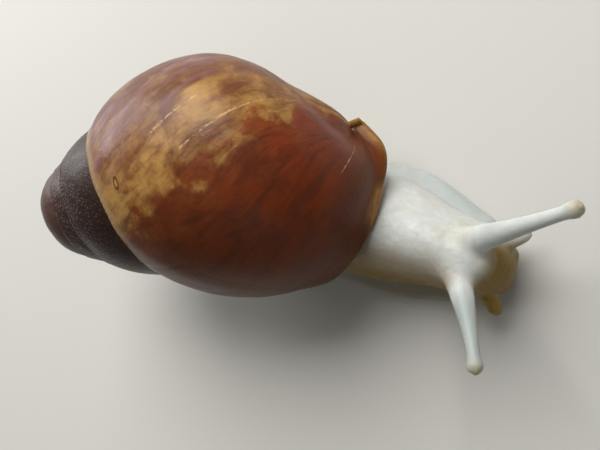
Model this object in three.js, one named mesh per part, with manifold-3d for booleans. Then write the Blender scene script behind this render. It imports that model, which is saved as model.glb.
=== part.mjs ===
// Giant African land snail, half grown, crawling with its feelers out: a still, life-size model.
// Millimetres. +X is ahead, +Y is the snail's left, +Z is up, and the flat sole lies on z = 0.

import * as THREE from 'three';
import { mergeVertices } from 'three/addons/utils/BufferGeometryUtils.js';
import Module from 'manifold-3d';

const wasm = await Module();
wasm.setup();

const { clamp, degToRad, lerp, smoothstep } = THREE.MathUtils;

// ---------------------------------------------------------------- driving dimensions

const GAP = 0.3;                           // clearance between neighbouring pieces
const SLIVER = 0.05;                       // faces thinner than this are merged into their neighbours
const FAR = 100;                           // beyond the snail in any direction

// The shell is a right-handed spiral. Its own frame has the axis along z, with the tip at the origin.
const SHELL_TIP = new THREE.Vector3( - 32.7, - 13.9, 25.9 );
const SHELL_AZIMUTH = degToRad( 212.5 );     // where the tip points, seen from above
const SHELL_RISE = degToRad( 16.2 );         // and how far above level
const LIP_ANGLE = -0.768;                  // turn of the lip round the axis, in radians
const SECTION_OFFSET = 5.3;                // axis to the middle of the newest section
const SECTION_HALF_WIDTH = 16.0;
const SECTION_HALF_HEIGHT = 21.9;
const SECTION_TILT = 0.308;
// How far the section leaves an ellipse, in waves of three and four round it.
const SECTION_SWELL = { threeCos: 0.037, threeSin: 0.017, fourCos: - 0.022 };
const GROWTH_RATE = 0.449;                 // log of the growth in one turn, at the lip
const GROWTH_EASE = 0.0435;                // how fast that falls towards the tip
const SPIRE_TURN = -2.2;                   // the oldest whorls, before this turn, are one piece
const NUCLEUS_TURN = -3.2;                 // older than this, the whorls close up quickly
const NUCLEUS_CLOSING = 0.6;
const FIRST_TURN = -4.6;
const SPIRE_DROP = 36.6;                   // tip to the middle of the newest section, along the axis
const SPIRE_POWER = 1.324;
const LIP_SLANT = 0.14;                    // the lip leans by this many turns either way
const SLANT_FROM = -0.6;                   // growth before this turn runs straight along the axis
const LIP_RADIUS = 1.0;                    // the lip is a round bead along the edge of the mouth
const LIP_START = degToRad( 195 );         // angles round the section between which it runs
const LIP_END = degToRad( 395 );
// The rounded end of the shell round the axis: an egg shape, trimmed to stop at the lip. It is cut
// away wherever growth from turn end to turn clearTo would pass, with a clearance round that.
const BASE = { radius: 12, halfLength: 18, depth: 33.5, end: 0.002, clearTo: 0.25, clearance: 4 };
const WALL = 1.0;                          // shell thickness at the mouth
const CAVITY_TURN = -0.2;                  // how deep the mouth is modelled
const COLLAR_START = -0.18;                // the collar of flesh that fills it
const COLLAR_END = -0.03;
const MOUTH_END = 0.03;                    // the hollow is cut from a little beyond the lip
const AXIS_CLEARANCE = 0.8;                // the whorls stop this far from the axis
const COLUMELLA_RADIUS = 2.0;              // and the pillar between them fills it
const COLUMELLA_START = 9;                 // below the tip, along the axis
const COLUMELLA_END = 50;
const CORE_RADIUS = 6;                     // the collar keeps this far from the axis
const TIP_SINK = 2.0;                      // flattens the dome of the first whorls
const TIP_SCALE = 0.36;                    // from this much of the newest section's size

// The body, from the tip of the tail to the front of the head.
const TAIL_X = -36;
const HEAD_X = 36;
const BODY_SIDES = 24;
const BODY_RINGS = 22;
const TAIL_CUT_X = -17;
const NECK_CUT_X = 14;
const HEAD_CUT_X = 26.5;
const FOOT_TOP = 2.2;                      // neck and head part from the foot at this height

// Feelers: radii at the root, along the stalk and at the knob.
const UPPER_FEELER = { root: 1.75, stalk: 0.84, knob: 1.25, sides: 12, rings: 16 };
const LOWER_FEELER = { root: 1.2, stalk: 0.8, knob: 0.95, sides: 10, rings: 10 };
const FEELERS = {
	upper_feeler_left: {
		...UPPER_FEELER,
		eye: 'eye_left',
		path: [ [ 29.3, 1.4, 10.2 ], [ 36.6, 5.2, 16.8 ], [ 42.9, 9.1, 22.0 ] ],
	},
	upper_feeler_right: {
		...UPPER_FEELER,
		eye: 'eye_right',
		path: [ [ 29.2, - 2.9, 10.2 ], [ 33.2, - 7.2, 15.2 ], [ 36.6, - 13.6, 18.3 ] ],
	},
	lower_feeler_left: {
		...LOWER_FEELER,
		path: [ [ 32.4, 1.7, 6.4 ], [ 35.2, 4.0, 5.6 ], [ 36.7, 5.5, 4.2 ] ],
	},
	lower_feeler_right: {
		...LOWER_FEELER,
		path: [ [ 32.0, - 3.4, 6.4 ], [ 34.2, - 5.6, 5.6 ], [ 35.5, - 7.3, 4.2 ] ],
	},
};
const STALK_FROM = 0.55;                   // fractions of a feeler where it has thinned to the stalk
const KNOB_FROM = 0.72;                    // and where it begins to swell again
const EYE_RADIUS = 0.55;
const EYE_STANDOUT = 0.15;
const MOUTH_LOBE = new THREE.Vector3( 1.6, 1.7, 1.5 );
const MOUTH_LOBE_X = 34.3;
const MOUTH_LOBE_Z = 4.1;
const MOUTH_LOBE_SPREAD = 1.9;

// ---------------------------------------------------------------- solids

// A closed geometry as a manifold solid, turned the right way out if its mapping mirrored it.
function solid( geometry ) {

	const bare = mergeable( geometry );
	const vertices = bare.getAttribute( 'position' ).array;
	const triangles = Uint32Array.from( bare.getIndex().array );
	const build = () => new wasm.Manifold( new wasm.Mesh( {
		numProp: 3,
		vertProperties: Float32Array.from( vertices ),
		triVerts: triangles,
	} ) );
	const first = build();
	if ( first.volume() > 0 ) return first;
	for ( let i = 0; i < triangles.length; i += 3 ) {

		const corner = triangles[ i + 1 ];
		triangles[ i + 1 ] = triangles[ i + 2 ];
		triangles[ i + 2 ] = corner;

	}

	return build();

}

// Only the positions, with the seam and the cap edges welded.
function mergeable( geometry ) {

	geometry.deleteAttribute( 'normal' );
	geometry.deleteAttribute( 'uv' );
	return mergeVertices( geometry );

}

function geometryOf( manifold ) {

	const mesh = manifold.getMesh();
	const geometry = new THREE.BufferGeometry();
	geometry.setAttribute( 'position', new THREE.BufferAttribute( mesh.vertProperties, 3 ) );
	geometry.setIndex( new THREE.BufferAttribute( mesh.triVerts, 1 ) );
	geometry.computeVertexNormals();
	return geometry;

}

// Moves every vertex of a geometry to where the given function puts it.
function reshape( geometry, place ) {

	const welded = mergeable( geometry );
	const position = welded.getAttribute( 'position' );
	const point = new THREE.Vector3();
	for ( let i = 0; i < position.count; i ++ ) {

		point.fromBufferAttribute( position, i );
		const moved = place( point );
		position.setXYZ( i, moved.x, moved.y, moved.z );

	}

	return welded;

}

// The biggest connected body of a cut solid, without the crumbs and slivers that a cut can leave.
function largest( manifold ) {

	const welded = solid( geometryOf( manifold.simplify( SLIVER ) ) );
	return welded.decompose().reduce( ( best, body ) => ( body.volume() > best.volume() ? body : best ) );

}

// A smooth curve of one value along x, through a few [ x, value ] knots.
function through( knots ) {

	const slope = ( i ) => {

		const before = knots[ Math.max( i - 1, 0 ) ];
		const after = knots[ Math.min( i + 1, knots.length - 1 ) ];
		return ( after[ 1 ] - before[ 1 ] ) / ( after[ 0 ] - before[ 0 ] );

	};

	return ( x ) => {

		let i = 0;
		while ( i < knots.length - 2 && x > knots[ i + 1 ][ 0 ] ) i ++;
		const [ x0, y0 ] = knots[ i ];
		const [ x1, y1 ] = knots[ i + 1 ];
		const span = x1 - x0;
		const k = clamp( ( x - x0 ) / span, 0, 1 );
		const cubic = k * k * ( 3 - 2 * k );
		const bend = slope( i ) * k * ( 1 - k ) ** 2 - slope( i + 1 ) * k * k * ( 1 - k );
		return y0 + ( y1 - y0 ) * cubic + bend * span;

	};

}

// ---------------------------------------------------------------- shell

function shellScale( turn ) {

	const steady = Math.max( turn, NUCLEUS_TURN );
	const early = Math.min( turn - NUCLEUS_TURN, 0 );
	const steadyLog = GROWTH_RATE * steady + GROWTH_EASE * steady * steady;
	const slope = GROWTH_RATE + 2 * GROWTH_EASE * NUCLEUS_TURN;
	return Math.exp( steadyLog + slope * early - NUCLEUS_CLOSING * early * early );

}

const shellFrame = ( () => {

	const axis = new THREE.Vector3(
		Math.cos( SHELL_AZIMUTH ) * Math.cos( SHELL_RISE ),
		Math.sin( SHELL_AZIMUTH ) * Math.cos( SHELL_RISE ),
		Math.sin( SHELL_RISE ),
	);
	const level = new THREE.Vector3( 0, 0, 1 ).cross( axis ).normalize();
	const square = axis.clone().cross( level );
	return new THREE.Matrix4().makeBasis( level, square, axis ).setPosition( SHELL_TIP );

} )();

// A point of the shell. Across and up run over the unit disc of the section, and inset is how far
// in from the outer face its rim lies. The newest growth leans, so its age changes with up. The
// section crosses the axis, and whole says whether its part beyond the axis counts.
function shellPoint( turn, across, up, inset, whole = false ) {

	const around = Math.atan2( up, across );
	const swell = 1 + SECTION_SWELL.threeCos * Math.cos( 3 * around )
		+ SECTION_SWELL.threeSin * Math.sin( 3 * around )
		+ SECTION_SWELL.fourCos * Math.cos( 4 * around );
	const margin = inset / shellScale( turn );
	const x = across * ( SECTION_HALF_WIDTH * swell - margin );
	const y = up * ( SECTION_HALF_HEIGHT * swell - margin );
	const age = turn + LIP_SLANT * smoothstep( turn, SLANT_FROM, 0 ) * y / SECTION_HALF_HEIGHT;
	const scale = shellScale( age );
	const out = SECTION_OFFSET + x * Math.cos( SECTION_TILT ) - y * Math.sin( SECTION_TILT );
	const along = x * Math.sin( SECTION_TILT ) + y * Math.cos( SECTION_TILT );
	const radius = whole ? out * scale : Math.max( out * scale, AXIS_CLEARANCE );
	const angle = LIP_ANGLE - 2 * Math.PI * age;
	const sink = TIP_SINK * Math.max( 1 - scale / TIP_SCALE, 0 ) ** 2;
	const height = along * scale - SPIRE_DROP * scale ** SPIRE_POWER - sink;
	return new THREE.Vector3( radius * Math.cos( angle ), radius * Math.sin( angle ), height )
		.applyMatrix4( shellFrame );

}

// The solid that the section sweeps from one turn to another, joined from stretches of half a turn
// at most, so that no stretch meets itself.
function whorls( from, to, sides, stepsPerTurn, inset ) {

	const count = Math.ceil( ( to - from ) * 2 );
	const stretches = [];
	for ( let i = 0; i < count; i ++ ) {

		const start = from + ( to - from ) * i / count;
		const end = from + ( to - from ) * ( i + 1 ) / count;
		const steps = Math.max( 1, Math.round( ( end - start ) * stepsPerTurn ) );
		const tube = new THREE.CylinderGeometry( 1, 1, 1, sides, steps );
		stretches.push( solid( reshape( tube, ( p ) => {

			const turn = start + ( end - start ) * ( p.y + 0.5 );
			return shellPoint( turn, p.x, p.z, inset );

		} ) ) );

	}

	return stretches.reduce( ( sum, stretch ) => sum.add( stretch ) );

}

// The rounded base of the shell, round the axis, on the side of the axis where the last whorl lies.
function base( inset ) {

	const ball = new THREE.SphereGeometry( 1, 26, 18 );
	ball.rotateX( Math.PI / 2 );
	ball.scale( BASE.radius - inset, BASE.radius - inset, BASE.halfLength - inset );
	const side = new THREE.BoxGeometry( FAR, FAR, FAR );
	side.translate( 0, FAR / 2 + inset, 0 );
	side.rotateZ( LIP_ANGLE );
	for ( const shape of [ ball, side ] ) {

		shape.translate( 0, 0, - BASE.depth );
		shape.applyMatrix4( shellFrame );

	}

	const ahead = whorls( BASE.end - 0.01 * inset, BASE.clearTo, 20, 20, - BASE.clearance );
	return solid( ball ).intersect( solid( side ) ).subtract( ahead );

}

// A rod along the axis, between two distances below the tip.
function axisRod( radius, start, end ) {

	const rod = new THREE.CylinderGeometry( radius, radius, end - start, 12 );
	rod.rotateX( Math.PI / 2 );
	rod.translate( 0, 0, - ( start + end ) / 2 );
	rod.applyMatrix4( shellFrame );
	return solid( rod );

}

const columella = ( margin ) => axisRod( COLUMELLA_RADIUS + margin, COLUMELLA_START, COLUMELLA_END );
const core = axisRod( CORE_RADIUS, 0, 80 );

// A thin slab that holds the axis and parts the whorls at one turn.
function turnCut( turn ) {

	const slab = new THREE.BoxGeometry( FAR, GAP, 2 * FAR );
	slab.translate( FAR / 2, 0, - FAR / 2 );
	slab.rotateZ( LIP_ANGLE - 2 * Math.PI * turn );
	slab.applyMatrix4( shellFrame );
	return solid( slab );

}

// The sweeps that the pieces share, each with its own sides round the section and steps per turn.
const apexWhorls = ( inset ) => whorls( FIRST_TURN, SPIRE_TURN, 13, 12, inset );
const spireWhorls = ( inset ) => whorls( SPIRE_TURN, - 1, 24, 16, inset );
const bodyWhorls = ( inset ) => whorls( - 1, 0, 28, 20, inset ).add( base( inset ) );
const parietalWhorls = ( inset ) => whorls( - 1.5, - 0.5, 24, 16, inset ).add( columella( - inset ) );
const mouth = ( start, end, inset ) => whorls( start, end, 24, 24, inset );
const olderRoom = apexWhorls( - GAP ).add( spireWhorls( - GAP ) );

function lipBead( radius ) {

	const edge = [];
	for ( let i = 0; i <= 12; i ++ ) {

		const around = lerp( LIP_START, LIP_END, i / 12 );
		edge.push( shellPoint( 0, Math.cos( around ), Math.sin( around ), LIP_RADIUS, true ) );

	}

	const section = new THREE.Shape().absarc( 0, 0, radius, 0, 2 * Math.PI );
	const extrudePath = new THREE.CatmullRomCurve3( edge );
	return solid( new THREE.ExtrudeGeometry( section, { extrudePath, steps: 30, curveSegments: 4 } ) );

}

function shellPieces() {

	const hollow = mouth( CAVITY_TURN, MOUTH_END, WALL ).subtract( parietalWhorls( 0 ) );
	return {
		shell_apex: apexWhorls( 0 ).subtract( columella( GAP ) ),
		shell_spire: spireWhorls( 0 ).subtract( apexWhorls( - GAP ) )
			.subtract( turnCut( SPIRE_TURN ) ).subtract( columella( GAP ) ),
		shell_body_whorl: bodyWhorls( 0 ).subtract( olderRoom ).subtract( turnCut( - 1 ) )
			.subtract( hollow ).add( columella( 0 ) ).subtract( lipBead( LIP_RADIUS + GAP ) ),
		shell_lip: lipBead( LIP_RADIUS ).subtract( olderRoom ).subtract( parietalWhorls( - GAP ) ),
	};

}

// The room the shell takes up in the flesh: its outside grown by the gap, less its open mouth.
function shellRoom() {

	const hollow = mouth( CAVITY_TURN, MOUTH_END, WALL + GAP ).subtract( parietalWhorls( - GAP ) );
	return bodyWhorls( - GAP ).add( olderRoom ).subtract( hollow ).add( columella( GAP ) )
		.add( lipBead( LIP_RADIUS + GAP ) );

}

// ---------------------------------------------------------------- flesh

// A long body along x with an elliptic section: the shape gives the section's middle, half width,
// top, bottom and widest height at each x, and both ends are rounded off.
function loft( { from, to, endRounding, centre, halfWidth, top, widest, bottom } ) {

	const ball = new THREE.SphereGeometry( 1, BODY_SIDES, BODY_RINGS );
	return solid( reshape( ball, ( p ) => {

		const x = from + ( to - from ) * ( 1 - p.y ) / 2;
		const ring = Math.hypot( p.x, p.z );
		const side = ring > 1e-6 ? p.x / ring : 0;
		const rise = ring > 1e-6 ? p.z / ring : 0;
		const toEnd = Math.min( x - from, to - x ) / endRounding;
		const round = Math.sqrt( 1 - ( 1 - clamp( toEnd, 0, 1 ) ) ** 2 );
		const reach = rise > 0 ? top( x ) - widest( x ) : widest( x ) - bottom;
		return new THREE.Vector3(
			x,
			centre( x ) + halfWidth( x ) * side * round,
			widest( x ) + reach * rise * round,
		);

	} ) );

}

const bodyCentre = ( x ) => - 0.9 * smoothstep( x, 18, 35 );

// The flat creeping foot, a little wider than the body all round.
const foot = loft( {
	from: TAIL_X,
	to: 34.8,
	endRounding: 5,
	centre: bodyCentre,
	halfWidth: through( [ [ - 36, 2.4 ], [ - 28, 5.6 ], [ - 16, 8.6 ], [ - 2, 10.1 ], [ 12, 10.3 ],
		[ 20, 9.9 ], [ 28, 7.3 ], [ 34.8, 5.2 ] ] ),
	top: through( [ [ - 36, 1.6 ], [ - 16, 2.2 ], [ 14, 2.2 ], [ 34.8, 1.8 ] ] ),
	widest: () => 0.5,
	bottom: - 1.2,
} );

const trunkHalfWidth = through( [ [ - 35, 1.5 ], [ - 26, 3.8 ], [ - 12, 6.6 ], [ 4, 8.6 ],
	[ 14, 8.5 ], [ 20, 7.4 ], [ 26, 5.9 ], [ 31, 5.4 ], [ 36, 5.0 ] ] );
const trunkTop = through( [ [ - 35, 2.2 ], [ - 26, 4.0 ], [ - 15, 6.2 ], [ - 5, 11 ], [ 6, 12.4 ],
	[ 14, 12.4 ], [ 20, 13.4 ], [ 26, 13.2 ], [ 31, 12.2 ], [ 36, 9.6 ] ] );

// The back, neck and head above it, grown by a margin where room is made for them.
const trunkShape = ( margin ) => loft( {
	from: - 35 - margin,
	to: HEAD_X + margin,
	endRounding: 5,
	centre: bodyCentre,
	halfWidth: ( x ) => trunkHalfWidth( x ) + margin,
	top: ( x ) => trunkTop( x ) + margin,
	widest: through( [ [ - 35, 1.2 ], [ - 10, 2.0 ], [ 14, 3.0 ], [ 26, 3.6 ], [ 36, 4.2 ] ] ),
	bottom: - 1,
} );
const trunk = trunkShape( 0 );
const trunkRoom = trunkShape( GAP );

const aboveFloor = solid( new THREE.BoxGeometry( 2 * FAR, FAR, FAR ).translate( 0, 0, FAR / 2 ) );

// The part of a solid inside a box given by its limits along x and z.
function within( manifold, x0, x1, z0, z1 ) {

	const box = new THREE.BoxGeometry( x1 - x0, FAR, z1 - z0 );
	box.translate( ( x0 + x1 ) / 2, 0, ( z0 + z1 ) / 2 );
	return manifold.intersect( solid( box ) );

}

// A feeler: round in section, thick at the root, with a knob at the tip.
function feeler( { path, root, stalk, knob, sides, rings }, margin = 0 ) {

	const [ start, bend, tip ] = path.map( ( point ) => new THREE.Vector3( ...point ) );
	const curve = new THREE.QuadraticBezierCurve3( start, bend, tip );
	const length = curve.getLength();
	const end = knob / length;
	const ball = new THREE.SphereGeometry( 1, sides, rings );
	return solid( reshape( ball, ( p ) => {

		const along = ( 1 - p.y ) / 2;
		const swell = lerp( root, stalk, smoothstep( along, 0, STALK_FROM ) )
			+ ( knob - stalk ) * smoothstep( along, KNOB_FROM, 1 - end );
		const round = Math.sqrt( 1 - ( 1 - clamp( Math.min( along, 1 - along ) / end, 0, 1 ) ) ** 2 );
		const ring = Math.hypot( p.x, p.z ) || 1;
		const ahead = curve.getTangent( along );
		const level = new THREE.Vector3( 0, 0, 1 ).cross( ahead ).normalize();
		const square = ahead.clone().cross( level );
		return curve.getPointAt( along )
			.addScaledVector( level, ( swell * round + margin ) * p.x / ring )
			.addScaledVector( square, ( swell * round + margin ) * p.z / ring );

	} ) );

}

// An eye sits in the end of the knob, and shows a little beyond it.
function eye( { path }, margin = 0 ) {

	const tip = new THREE.Vector3( ...path[ 2 ] );
	const ahead = tip.clone().sub( new THREE.Vector3( ...path[ 1 ] ) ).normalize();
	const centre = tip.addScaledVector( ahead, EYE_STANDOUT - EYE_RADIUS );
	return solid( new THREE.SphereGeometry( EYE_RADIUS + margin, 10, 7 ).translate( ...centre ) );

}

function mouthLobe( side, margin = 0 ) {

	const ball = new THREE.SphereGeometry( 1, 10, 8 );
	ball.scale( MOUTH_LOBE.x + margin, MOUTH_LOBE.y + margin, MOUTH_LOBE.z + margin );
	ball.translate( MOUTH_LOBE_X, bodyCentre( MOUTH_LOBE_X ) + side * MOUTH_LOBE_SPREAD, MOUTH_LOBE_Z );
	return solid( ball );

}

function fleshPieces() {

	const half = GAP / 2;
	const body = foot.add( trunk ).intersect( aboveFloor ).subtract( shellRoom() )
		.subtract( mouth( CAVITY_TURN, COLLAR_END + 0.006, WALL + half ) );
	const pieces = {
		mantle_collar: mouth( COLLAR_START, COLLAR_END, WALL + GAP )
			.subtract( parietalWhorls( - GAP ) ).subtract( core ).subtract( lipBead( LIP_RADIUS + GAP ) ),
		foot_tail: within( body, - FAR, TAIL_CUT_X - half, 0, FAR ),
		foot_middle: within( body, TAIL_CUT_X + half, NECK_CUT_X - half, 0, FAR ),
		foot_front: within( body, NECK_CUT_X + half, FAR, 0, FOOT_TOP - half ),
		neck: within( body, NECK_CUT_X + half, HEAD_CUT_X - half, FOOT_TOP + half, FAR ),
		head: within( body, HEAD_CUT_X + half, FAR, FOOT_TOP + half, FAR )
			.subtract( mouthLobe( 1, GAP ) ).subtract( mouthLobe( - 1, GAP ) ),
		mouth_lobe_left: mouthLobe( 1 ),
		mouth_lobe_right: mouthLobe( - 1 ),
	};
	for ( const [ name, shape ] of Object.entries( FEELERS ) ) {

		pieces[ name ] = feeler( shape ).subtract( trunkRoom );
		if ( shape.eye ) {

			pieces[ name ] = pieces[ name ].subtract( eye( shape, GAP ) );
			pieces[ shape.eye ] = eye( shape );

		}

	}

	return pieces;

}

// ---------------------------------------------------------------- the exported group

const SHELL_LOOK = { roughness: 0.22, metalness: 0 };
const SKIN_LOOK = { color: 0xe6dcc4, roughness: 0.35, metalness: 0 };
const looks = {
	shell_apex: { color: 0x4b3a38, ...SHELL_LOOK },
	shell_spire: { color: 0x5a4440, ...SHELL_LOOK },
	shell_body_whorl: { color: 0x74401f, ...SHELL_LOOK },
	shell_lip: { color: 0xa8722c, ...SHELL_LOOK },
	eye_left: { color: 0xb9a684, roughness: 0.15, metalness: 0 },
	eye_right: { color: 0xb9a684, roughness: 0.15, metalness: 0 },
};

const model = new THREE.Group();
for ( const [ name, body ] of Object.entries( { ...shellPieces(), ...fleshPieces() } ) ) {

	const material = new THREE.MeshStandardMaterial( looks[ name ] ?? SKIN_LOOK );
	const mesh = new THREE.Mesh( geometryOf( largest( body ) ), material );
	mesh.name = name;
	model.add( mesh );

}

export default model;
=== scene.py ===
# %% [markdown]
# # A giant African land snail
# The animal is half grown, about 79 mm long, and crawls with its neck stretched and its feelers out.
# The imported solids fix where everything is, so they are loaded first and their box is kept. Every length
# below is in millimetres on the real animal, and is turned to metres where a mesh is made.

import math

import bmesh
import bpy
import numpy as np
from mathutils import Matrix, Vector, noise


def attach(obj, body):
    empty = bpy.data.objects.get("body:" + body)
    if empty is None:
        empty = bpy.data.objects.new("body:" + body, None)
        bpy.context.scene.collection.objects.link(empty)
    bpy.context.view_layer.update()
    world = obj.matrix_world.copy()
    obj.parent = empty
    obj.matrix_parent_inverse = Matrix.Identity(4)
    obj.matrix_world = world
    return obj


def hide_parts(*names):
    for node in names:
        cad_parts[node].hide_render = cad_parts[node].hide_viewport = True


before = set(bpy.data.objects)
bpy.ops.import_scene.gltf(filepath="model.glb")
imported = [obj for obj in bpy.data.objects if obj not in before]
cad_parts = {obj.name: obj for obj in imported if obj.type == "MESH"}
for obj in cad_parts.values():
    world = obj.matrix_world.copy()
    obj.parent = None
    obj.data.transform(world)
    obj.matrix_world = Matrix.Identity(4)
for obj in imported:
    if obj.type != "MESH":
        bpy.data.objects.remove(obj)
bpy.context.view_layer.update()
print("fixed solids:", len(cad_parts))

# %% [markdown]
# ## How a snail's shell grows
# A snail adds shell only at the rim of the mouth. The rim keeps its shape, gets a little bigger with
# each step and turns round one straight axis. So the whole shell is one outline, the section, swept
# by a growth law. It could be sculpted, or cut from an egg shape with a screw groove, but only the
# growth law puts the whorls, the seam between them and the growth lines in the right places.

# %% The growth law
MM = 0.001
SHELL_TIP = np.array([-32.7, -13.9, 25.9])
AZIMUTH, RISE = math.radians(212.5), math.radians(16.2)
AXIS = np.array([math.cos(AZIMUTH) * math.cos(RISE), math.sin(AZIMUTH) * math.cos(RISE), math.sin(RISE)])
LEVEL = np.cross([0, 0, 1], AXIS)
LEVEL /= np.linalg.norm(LEVEL)
SQUARE = np.cross(AXIS, LEVEL)

HALF_WIDTH, HALF_HEIGHT, OFFSET, TILT = 16.0, 21.9, 5.3, 0.308   # the newest section
LIP_ANGLE = -0.768             # where round the axis the newest section stands
GROWTH, EASE = 0.449, 0.0435   # log of the growth in one turn, and how it falls towards the tip
NUCLEUS, FIRST = -3.2, -4.35   # before the nucleus turn the whorls close up quickly, down to the first
CLOSING = 0.6                  # how fast the whorls before the nucleus close up
DROP, POWER = 36.6, 1.324      # how fast the sections move down the axis
BLUNT, BLUNT_SIZE = 4.5, 0.36  # how far the tip is lowered, for sections below this size
SLANT = 0.14                   # the rim leans by this part of a turn either way
EGG_RADIUS, EGG_HALF, EGG_DEPTH = 12, 18, 33.5   # the rounded base round the axis
EGG_BLEND = 2.0                # mm2, how softly the base joins the rest


def smooth(x, low, high):
    """0 below low, 1 above high, and an even S between them."""
    k = np.clip((np.asarray(x, float) - low) / (high - low), 0, 1)
    return k * k * (3 - 2 * k)


def shell_scale(turn):
    """Size of the section, 1 at the rim (turn 0) and less at older, negative turns."""
    steady, early = np.maximum(turn, NUCLEUS), np.minimum(turn - NUCLEUS, 0)
    slope = GROWTH + 2 * EASE * NUCLEUS
    return np.exp(GROWTH * steady + EASE * steady**2 + slope * early - CLOSING * early**2)


def sink(scale):
    """The first whorls lie lower than the law says, which makes the tip blunt."""
    return BLUNT * np.maximum(1 - scale / BLUNT_SIZE, 0) ** 2


def fullness(scale):
    """And they are a little wider."""
    return 1 + 0.13 * np.exp(-(((scale - 0.27) / 0.11) ** 2))


def bud(turn):
    """The very first growth starts from nothing and rounds up to full size."""
    return np.sqrt(1 - (1 - np.clip((turn - FIRST) / 0.3, 0, 1)) ** 2)


def swell(around):
    """How far the section's outline stands off a plain ellipse."""
    return 1 + 0.037 * np.cos(3 * around) + 0.017 * np.sin(3 * around) - 0.022 * np.cos(4 * around)


def section(turn, around, lift=0.0):
    """A point of the section, raised by lift, as (age, radius, height) round the shell's axis."""
    size = swell(around) * bud(turn)
    extra = lift / shell_scale(turn)
    x = np.cos(around) * (HALF_WIDTH * size + extra)
    y = np.sin(around) * (HALF_HEIGHT * size + extra)
    age = turn + SLANT * smooth(turn, -0.6, 0) * y / HALF_HEIGHT
    scale = shell_scale(age)
    out = OFFSET + x * math.cos(TILT) - y * math.sin(TILT)
    along = x * math.sin(TILT) + y * math.cos(TILT)
    return age, out * scale * fullness(scale), along * scale - DROP * scale**POWER - sink(scale)


def on_egg(age, radius, height):
    """The newest half turn also wraps the rounded base: the fuller of the two outlines, blended."""
    ahead, down = radius, height + EGG_DEPTH
    reach = np.hypot(ahead, down) + 1e-9
    egg = 1 / np.hypot(ahead / reach / EGG_RADIUS, down / reach / EGG_HALF)
    fuller = (reach + egg + np.sqrt((reach - egg) ** 2 + EGG_BLEND)) / 2
    grown = 1 + (fuller / reach - 1) * smooth(age, -0.64, -0.44)
    return radius * grown, down * grown - EGG_DEPTH


def in_space(age, radius, height):
    """From the shell's axis to the snail's own frame, in mm."""
    angle = LIP_ANGLE - 2 * math.pi * np.asarray(age)
    flat = np.stack([radius * np.cos(angle), radius * np.sin(angle), height], -1)
    return SHELL_TIP + flat @ np.array([LEVEL, SQUARE, AXIS])


print("scale one, two and three turns back:", np.round(shell_scale(np.array([-1.0, -2.0, -3.0])), 3))

# %% [markdown]
# ## The seam between the whorls
# Each whorl is glued to the one before it along the seam, or suture. Below it the older whorl is
# hidden. Modelling the hidden part would double the faces, so each ring of the sheet starts a little
# inside the older whorl and ends a little inside the newer one. The seam is found by walking along a
# section until the point lies inside the section one turn older.

# %% Find the seam
AXIS_CLEARANCE = 0.8   # mm from the axis to the end of a rim
ACROSS = 1.4           # the newest rims end this much further on, a little past the axis


def axis_clearance(turn):
    """How near the axis a rim ends, in mm. Below 0 is past the axis."""
    return AXIS_CLEARANCE * smooth(turn, -3.4, -2.4) + 0.02 - ACROSS * smooth(turn, -0.13, -0.01)


def seam(turn):
    """Angles on the newer and on the older section where they meet."""
    around = np.radians(np.linspace(5, 118, 500))
    age, radius, height = section(turn, around)
    scale = shell_scale(age - 1)
    out = radius / scale / fullness(scale) - OFFSET
    along = (height + DROP * scale**POWER + sink(scale)) / scale
    x = (out * math.cos(TILT) + along * math.sin(TILT)) / HALF_WIDTH
    y = (along * math.cos(TILT) - out * math.sin(TILT)) / HALF_HEIGHT
    older = np.arctan2(y, x)
    inside = (np.hypot(x, y) < swell(older) * bud(age - 1)) | (radius < AXIS_CLEARANCE * 0.1)
    i = int(np.argmax(inside)) if inside.any() else len(around) - 1
    return around[i], older[i]


def floor_of(turn):
    """Angle at which the section reaches the axis at the bottom."""
    around = np.radians(np.linspace(-90, -170, 400))
    age, radius, height = section(turn, around)
    return around[int(np.argmax(radius < axis_clearance(turn)))]


KNOTS = np.linspace(FIRST, 0.05, 180)
SEAMS = np.unwrap([seam(t) for t in KNOTS], axis=0)
FLOORS = np.array([floor_of(t) for t in KNOTS])


def smoothed(values):
    """A running average over nine knots."""
    kernel = np.hanning(9)
    padded = np.pad(values, 4, mode="edge")
    return np.convolve(padded, kernel / kernel.sum(), mode="valid")


NEWER, OLDER, FLOORS = smoothed(SEAMS[:, 0]), smoothed(SEAMS[:, 1]), smoothed(FLOORS)


def seam_angle(turn):
    """Where a section starts, at the seam."""
    return np.interp(turn, KNOTS, NEWER)


def cover_angle(turn):
    """Where the next whorl will cover this one."""
    return np.interp(turn + 1, KNOTS, OLDER)


def floor_angle(turn):
    """Where a section ends, at the shell's axis."""
    return np.interp(turn, KNOTS, FLOORS)


for t in (-3, -2, -1, -0.5, 0):
    angles = [round(math.degrees(angle(t))) for angle in (seam_angle, cover_angle, floor_angle)]
    print("turn", t, "seam, cover and floor:", angles)

# %% [markdown]
# ## Relief of the shell
# Growth isn't even. The rim stops and starts, so fine ridges run along old rims, with a deeper
# groove at each long rest. The spire is covered with fine beads in rows, and the seam has a row of
# bigger ones. These are real steps in the surface, so they are put in the mesh. Only the lines that
# are finer than the mesh are left to the material.

# %% Growth lines, beads and the lip's flare
# where growth rested: the turn, the groove's depth in mm and its width in turns
RESTS = [(-0.046, 0.16, 0.004), (-0.128, 0.05, 0.003), (-0.236, 0.06, 0.0025), (-0.315, 0.05, 0.003),
         (-0.372, 0.07, 0.002), (-0.45, 0.05, 0.003), (-0.58, 0.06, 0.003), (-0.83, 0.06, 0.003)]
PLEATS = 96        # pleats and rows of beads in one turn
BEAD_ROW = 0.5     # mm between rows of beads
OLD_LEAN = 0.065   # older lines lean this much less than the newest


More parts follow.
